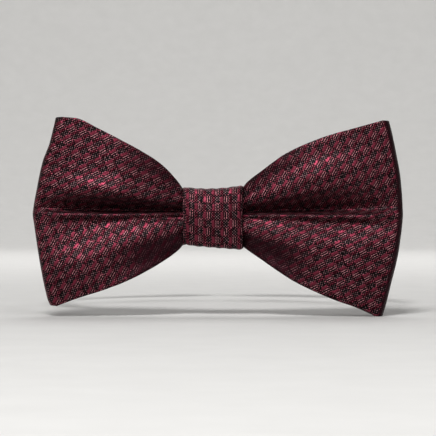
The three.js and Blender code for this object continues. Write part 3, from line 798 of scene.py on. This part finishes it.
# Angles round the neck from the knot
HIDDEN = 20  # the lengths of band meet behind the wings
SWING_START, SWING_END = 42, 70  # angles between which each half of the band bends; only points there are found
MID_JOIN = 72
RUN_START, RUN_END = MID_JOIN + 4, 156  # the run that shortens when the size is changed; only points at its ends are found
FOLD_START = 160.3  # where the hook's fold ends and the return ply starts
SLIDE_ANGLE = 128  # the adjuster's middle bar
TAB_END = 132  # the end that is turned round it
RETURN_STOP = 148  # the end that is turned round the eye's bar
DEGREE = math.pi / 180 * BAND_MID  # length of band in one degree
RETURN_LENGTH = 190.0  # length of band from the knot to the return ply, for its weave

band_front, front_length = band("neckband_middle", neck_run(BAND_MID, -HIDDEN, HIDDEN))
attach(band_front, "bow")

left_line = np.concatenate(
    [
        neck_run(BAND_MID, -HIDDEN, -FOLD_ANGLE),
        half_turn(BAND_MID, UPPER_PLY, -FOLD_ANGLE, -1),
        neck_run(UPPER_PLY, -FOLD_ANGLE, -RETURN_STOP, UNDER_PLY),
    ]
)
band_left, left_length = band("neckband_left_side", left_line, start_length=HIDDEN * DEGREE)
at_neck(-SWING_START)
at_neck(-SWING_END)
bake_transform(band_left)
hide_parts("neckband_front", "neckband_left")

right_line = neck_run(BAND_MID, HIDDEN, MID_JOIN)
band_right, right_length = band("neckband_right_side", right_line, start_length=HIDDEN * DEGREE)
at_neck(SWING_START)
at_neck(SWING_END)
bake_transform(band_right)

run_line = np.concatenate(
    [
        neck_run(BAND_MID, MID_JOIN, FOLD_ANGLE),
        half_turn(BAND_MID, UPPER_PLY, FOLD_ANGLE, 1),
        neck_run(UPPER_PLY, FOLD_ANGLE, FOLD_START),
    ]
)
band_run, run_length = band("neckband_adjusting_run", run_line, start_length=MID_JOIN * DEGREE)
at_neck(RUN_START)
at_neck(RUN_END)
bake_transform(band_run)
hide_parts("neckband_right", "neckband_hook_fold")

return_line = np.concatenate(
    [
        neck_run(UPPER_PLY, FOLD_START, SLIDE_ANGLE),
        half_turn(UNDER_PLY, UPPER_PLY, SLIDE_ANGLE, -1)[::-1],
        neck_run(UNDER_PLY, SLIDE_ANGLE, TAB_END),
    ]
)
band_return, return_length = band("neckband_return_ply", return_line, start_length=RETURN_LENGTH)
at_neck(FOLD_START - 1)
at_neck(TAB_END + 1)
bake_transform(band_return)
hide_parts("neckband_return", "neckband_slide_tab")

# ---------------------------------------------------------------------------------------------
# The metal: a hook, an eye and an adjuster, stamped from sheet, tumbled and plated with bright nickel.
# The hook and the eye hang in the neckband's folds, and the band's end is sewn round the adjuster.
# ---------------------------------------------------------------------------------------------


def nickel():
    """Bright plating, a little cloudy from tumbling."""
    plate = Finish("nickel")
    place = plate.out(plate.node("ShaderNodeTexCoord", {}), "Object")
    cloud = plate.noise(place, 900.0, 3.0)
    fine = plate.noise(place, 9000.0, 2.0)
    colour = plate.mix(cloud, rgb(196, 194, 190), rgb(222, 221, 218))
    bump = plate.node("ShaderNodeBump", {}, Strength=0.12, Distance=0.0001, Height=fine)
    rough = 0.16 + 0.16 * cloud
    return plate.finish(Base_Color=colour, Metallic=1.0, Roughness=rough, Normal=plate.out(bump))


TUMBLED_EDGE = 0.22 * MM
metal = nickel()
for node, body in (("hook", "hook"), ("eye", "eye"), ("adjuster_slide", "adjuster")):
    piece = frame["nodes"][node].copy()
    piece.data = piece.data.copy()
    piece.name = node + "_stamping"
    piece.parent = None
    bpy.context.scene.collection.objects.link(piece)
    piece.modifiers.clear()
    shape = bmesh.new()
    shape.from_mesh(piece.data)
    bmesh.ops.remove_doubles(shape, verts=shape.verts, dist=1e-6)
    bmesh.ops.dissolve_limit(shape, angle_limit=math.radians(2), verts=shape.verts, edges=shape.edges)
    shape.to_mesh(piece.data)
    shape.free()
    piece.data.materials.clear()
    piece.data.materials.append(metal)
    bevel = piece.modifiers.new("tumbled", "BEVEL")
    bevel.width = TUMBLED_EDGE
    bevel.segments = 3
    bevel.limit_method = "ANGLE"
    bevel.angle_limit = math.radians(35)
    bevel.harden_normals = True
    piece.data.polygons.foreach_set("use_smooth", np.ones(len(piece.data.polygons), bool))
    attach(piece, body)
    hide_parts(node)

# ---------------------------------------------------------------------------------------------
# The sewing: waxed thread gathers the waist inside the knot. By hand, slip stitches close the strip
# behind each wing, the knot's ends and the neckband, and bar tacks hold the band's turned ends.
# ---------------------------------------------------------------------------------------------


TWIST = 0.5 * MM  # from one strand of the thread to the next


def waxed_thread():
    """Burgundy thread, with its twist."""
    thread = Finish("thread")
    place = thread.out(thread.node("ShaderNodeTexCoord", {}), "Object")
    spread = thread.node("ShaderNodeSeparateXYZ", {}, Vector=place)
    slant = thread.out(spread, 0) + thread.out(spread, 2)
    strands = (slant * (2 * math.pi / TWIST)).sin() * 0.5 + 0.5
    colour = thread.mix(strands, rgb(52, 12, 24), rgb(128, 42, 62))
    bump = thread.node("ShaderNodeBump", {}, Strength=0.6, Distance=0.0002, Height=strands)
    return thread.finish(Base_Color=colour, Roughness=0.6, Normal=thread.out(bump))


def stitch_nodes():
    """Geometry nodes that put a stitch at each step along a line, turned the way that its lay points."""
    tree = bpy.data.node_groups.new("stitches", "GeometryNodeTree")
    tree.interface.new_socket("Geometry", in_out="INPUT", socket_type="NodeSocketGeometry")
    for name in ("Spacing", "Stitch Length", "Thread Radius", "Unevenness"):
        tree.interface.new_socket(name, in_out="INPUT", socket_type="NodeSocketFloat")
    tree.interface.new_socket("Material", in_out="INPUT", socket_type="NodeSocketMaterial")
    tree.interface.new_socket("Geometry", in_out="OUTPUT", socket_type="NodeSocketGeometry")

    def node(kind, settings=None, **inputs):
        made = tree.nodes.new(kind)
        for key, value in (settings or {}).items():
            setattr(made, key, value)
        for key, value in inputs.items():
            socket = made.inputs[int(key[1:]) if key[1:].isdigit() else key.replace("_", " ")]
            if isinstance(value, bpy.types.NodeSocket):
                tree.links.new(value, socket)
            else:
                socket.default_value = value
        return made.outputs[0]

    given = tree.nodes.new("NodeGroupInput").outputs
    line = node("GeometryNodeMeshToCurve", Mesh=given["Geometry"])
    steps = node("GeometryNodeResampleCurve", {"mode": "LENGTH"}, Curve=line, Length=given["Spacing"])
    round_stitch = node("GeometryNodeMeshUVSphere", Segments=8, Rings=6, Radius=1.0)
    half = node("ShaderNodeMath", {"operation": "MULTIPLY"}, i0=given["Stitch Length"], i1=0.5)
    thread = given["Thread Radius"]
    size = node("ShaderNodeCombineXYZ", X=half, Y=thread, Z=thread)
    stitch = node("GeometryNodeTransform", Geometry=round_stitch, Scale=size)
    lay = node("GeometryNodeInputNamedAttribute", {"data_type": "FLOAT_VECTOR"}, Name="lay")
    least = node("ShaderNodeMath", {"operation": "MULTIPLY"}, i0=given["Unevenness"], i1=-1.0)
    low = node("ShaderNodeCombineXYZ", X=least, Y=least, Z=least)
    most = given["Unevenness"]
    high = node("ShaderNodeCombineXYZ", X=most, Y=most, Z=most)
    stray = node("FunctionNodeRandomValue", {"data_type": "FLOAT_VECTOR"}, Min=low, Max=high, Seed=7)
    pulled = node("ShaderNodeVectorMath", {"operation": "ADD"}, i0=lay, i1=stray)
    turn = node("FunctionNodeAlignRotationToVector", {"axis": "X"}, Vector=pulled)
    laid = node("GeometryNodeInstanceOnPoints", Points=steps, Instance=stitch, Rotation=turn)
    whole = node("GeometryNodeRealizeInstances", Geometry=laid)
    smooth = node("GeometryNodeSetShadeSmooth", Geometry=whole)
    finished = node("GeometryNodeSetMaterial", Geometry=smooth, Material=given["Material"])
    tree.links.new(finished, tree.nodes.new("NodeGroupOutput").inputs["Geometry"])
    return tree


sewing_thread = waxed_thread()
stitches = stitch_nodes()


def sew(name, line, lay, spacing, length, radius=0.17, unevenness=0.12):
    """Stitches along a line of points, each turned the way that lay points there. Sizes are in mm."""
    path = bpy.data.meshes.new(name)
    joined = [(k, k + 1) for k in range(len(line) - 1)]
    path.from_pydata([tuple(point * MM) for point in line], joined, [])
    direction = path.attributes.new("lay", "FLOAT_VECTOR", "POINT")
    direction.data.foreach_set("vector", np.asarray(lay, float).ravel())
    guide = bpy.data.objects.new(name + "_line", path)
    bpy.context.scene.collection.objects.link(guide)
    sewn = guide.modifiers.new("stitches", "NODES")
    sewn.node_group = stitches
    sizes = {
        "Spacing": spacing * MM,
        "Stitch Length": length * MM,
        "Thread Radius": radius * MM,
        "Unevenness": unevenness,
        "Material": sewing_thread,
    }
    for socket in stitches.interface.items_tree:
        if socket.name in sizes:
            sewn[socket.identifier] = sizes[socket.name]
    evaluated = guide.evaluated_get(bpy.context.evaluated_depsgraph_get())
    mesh = bpy.data.meshes.new_from_object(evaluated)
    bpy.data.objects.remove(guide)
    piece = bpy.data.objects.new(name, mesh)
    bpy.context.scene.collection.objects.link(piece)
    return piece


def along(line, lean):
    """The line's own direction at each point, leaning upwards."""
    step = np.gradient(line, axis=0)
    step /= np.linalg.norm(step, axis=1, keepdims=True)
    return step + [0, 0, lean]


# Behind each wing, along the strip's seam
seam_rows = WING_FRONT + TURN_ROWS + np.arange(4, BACK_ROWS - 4)
middle = FACE_ACROSS // 2
for side, rows in (("right", seam_rows), ("left", len(outer) - 1 - seam_rows)):
    seam_line = (outer[rows, middle - 1] + outer[rows, middle]) / 2 + [0, 0.12, 0]
    seam = sew(side + "_wing_seam_stitches", seam_line, along(seam_line, 0.8), spacing=2.6, length=1.5)
    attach(seam, "bow")

# Across the back of the knot, where the wrap's two ends meet
KNOT_HEM = 1.4
knot_seam_x = np.linspace(KNOT_HEM - KNOT_EDGE, KNOT_EDGE - KNOT_HEM, 24)
knot_seam_line = [np.array([x, 0.08, 0]) for x in knot_seam_x]
slanted = [(0.5, 0, 1)] * len(knot_seam_line)
knot_seam = sew("knot_closing_stitches", knot_seam_line, slanted, spacing=1.5, length=1.9)
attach(knot_seam, "bow")

BEHIND_KNOT = 11  # degrees of the band that the knot covers, to each side
SEAM_STOP = 3  # degrees from the fold where the band's seam ends


def seam_inside(name, start, end):
    """Slip stitches along the middle of the neckband's inner face."""
    flat = neck_run(BAND_MID - BAND_THICKNESS / 2 - 0.06, start, end)
    line = np.concatenate([flat, np.zeros((len(flat), 1))], axis=1)
    return sew(name, line, along(line, 0.45), spacing=3.4, length=1.7)


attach(seam_inside("neckband_middle_stitches", -HIDDEN, -BEHIND_KNOT), "bow")
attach(seam_inside("neckband_middle_stitches_right", BEHIND_KNOT, HIDDEN), "bow")
left_seam = seam_inside("neckband_left_stitches", -HIDDEN, SEAM_STOP - FOLD_ANGLE)
at_neck(-SWING_START)
at_neck(-SWING_END)
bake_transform(left_seam)
right_seam = seam_inside("neckband_right_stitches", HIDDEN, MID_JOIN)
at_neck(SWING_START)
at_neck(SWING_END)
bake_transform(right_seam)
run_seam = seam_inside("neckband_run_stitches", MID_JOIN, FOLD_ANGLE - SEAM_STOP)
at_neck(RUN_START)
at_neck(RUN_END)
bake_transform(run_seam)

# Bar tacks: close satin stitches across each turned-back ply
TACK_SINK = 0.45  # the thread is pulled down onto the cloth
for node, body in (("eye_tack", "left_band"), ("slide_tack", "adjuster")):
    low, high = [np.array(corner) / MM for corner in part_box(node)]
    out = (low + high)[:2] / 2 - [0, neck_y]
    outward = out / np.linalg.norm(out)
    x, y = out - outward * TACK_SINK
    tack_line = [np.array([x, y + neck_y, z]) for z in np.linspace(low[2], high[2], 20)]
    along_band = [(-outward[1], outward[0], 0.1)] * len(tack_line)
    tack = sew(node + "_stitches", tack_line, along_band, spacing=0.42, length=2.0, radius=0.24)
    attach(tack, body)
    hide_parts(node)

cinch = frame["nodes"]["cinch_thread"].data
cinch.materials.clear()
cinch.materials.append(sewing_thread)

# ---------------------------------------------------------------------------------------------
# Round the bow: a pale paper floor that sweeps up into a wall on every side. A small lamp in front
# gives the cloth its shine, a large one overhead softens it, and four light the walls.
# ---------------------------------------------------------------------------------------------

FLOOR_GAP = 0.4 * MM
FLOOR_REACH, SWEEP, WALL, SIDES = 1.4, 0.8, 3.0, 64  # in metres, but for the sides
floor_z = cad_box[0][2] - FLOOR_GAP
profile = [(0.001, 0.0), (0.3, 0.0), (FLOOR_REACH, 0.0)]
sweep_turns = np.linspace(0, math.pi / 2, 13)[1:]
profile += [(FLOOR_REACH + SWEEP * math.sin(a), SWEEP - SWEEP * math.cos(a)) for a in sweep_turns]
profile.append((FLOOR_REACH + SWEEP, WALL))
spokes = np.linspace(0, 2 * math.pi, SIDES + 1)[:-1]
verts = [(r * math.cos(a), r * math.sin(a), floor_z + z) for r, z in profile for a in spokes]
faces = []
for ring in range(len(profile) - 1):
    for k in range(SIDES):
        here, ahead = ring * SIDES + k, ring * SIDES + (k + 1) % SIDES
        faces.append((here, here + SIDES, ahead + SIDES, ahead))
faces.append(tuple(range(SIDES)))
sweep_mesh = bpy.data.meshes.new("floor")
sweep_mesh.from_pydata(verts, [], faces)
sweep_mesh.polygons.foreach_set("use_smooth", np.ones(len(faces), bool))
floor = bpy.data.objects.new("floor", sweep_mesh)
bpy.context.scene.collection.objects.link(floor)
paper = Finish("paper")
grain = paper.noise(paper.out(paper.node("ShaderNodeTexCoord", {}), "Object"), 60.0, 2.0)
pale = paper.mix(grain, rgb(196, 195, 193), rgb(204, 203, 201))
floor.data.materials.append(paper.finish(Base_Color=pale, Roughness=0.9))


def lamp(name, place, target, size, watts):
    """A square lamp at a place, turned towards its target."""
    light = bpy.data.lights.new(name, "AREA")
    light.size = size
    light.energy = watts
    holder = bpy.data.objects.new(name, light)
    bpy.context.scene.collection.objects.link(holder)
    holder.location = place
    holder.rotation_euler = (Vector(target) - Vector(place)).to_track_quat("-Z", "Y").to_euler()


lamp("key", (-0.12, -0.62, 0.70), (0, 0, 0), size=0.24, watts=7.8)
lamp("overhead", (0.05, 0.55, 0.95), (0, 0.25, 0), size=0.7, watts=5.0)
WALL_WATTS = (15.0, 7.0, 7.0, 7.0)  # behind the bow, and then round
for side, watts in enumerate(WALL_WATTS):
    x, y = math.sin(side * math.pi / 2), math.cos(side * math.pi / 2)
    lamp(f"wall_{side}", (0.75 * x, 0.75 * y, 1.1), (2 * x, 2 * y, 0.3), size=0.8, watts=watts)

world = bpy.data.worlds.new("studio")
bpy.context.scene.world = world
world.use_nodes = True
background = world.node_tree.nodes["Background"].inputs
background["Color"].default_value = (0.94, 0.95, 1.0, 1)
background["Strength"].default_value = 0.06
bpy.context.scene.view_settings.view_transform = "Standard"

DISTANCE, BOW_PLANE = 0.62, -0.010  # of the camera, and of the bow's front, in metres
FRAME_WIDTH = 0.1410  # what the camera sees across, at the bow's front
AIM_X, AIM_Z = 0.0017, -0.0003
camera = bpy.data.cameras.new("camera")
camera.sensor_width = 36
camera.lens = camera.sensor_width * (DISTANCE + BOW_PLANE) / FRAME_WIDTH
camera.clip_start = 0.01
viewer = bpy.data.objects.new("camera", camera)
bpy.context.scene.collection.objects.link(viewer)
viewer.location = (AIM_X, -DISTANCE, AIM_Z)
viewer.rotation_euler = (math.pi / 2, 0, 0)
bpy.context.scene.camera = viewer
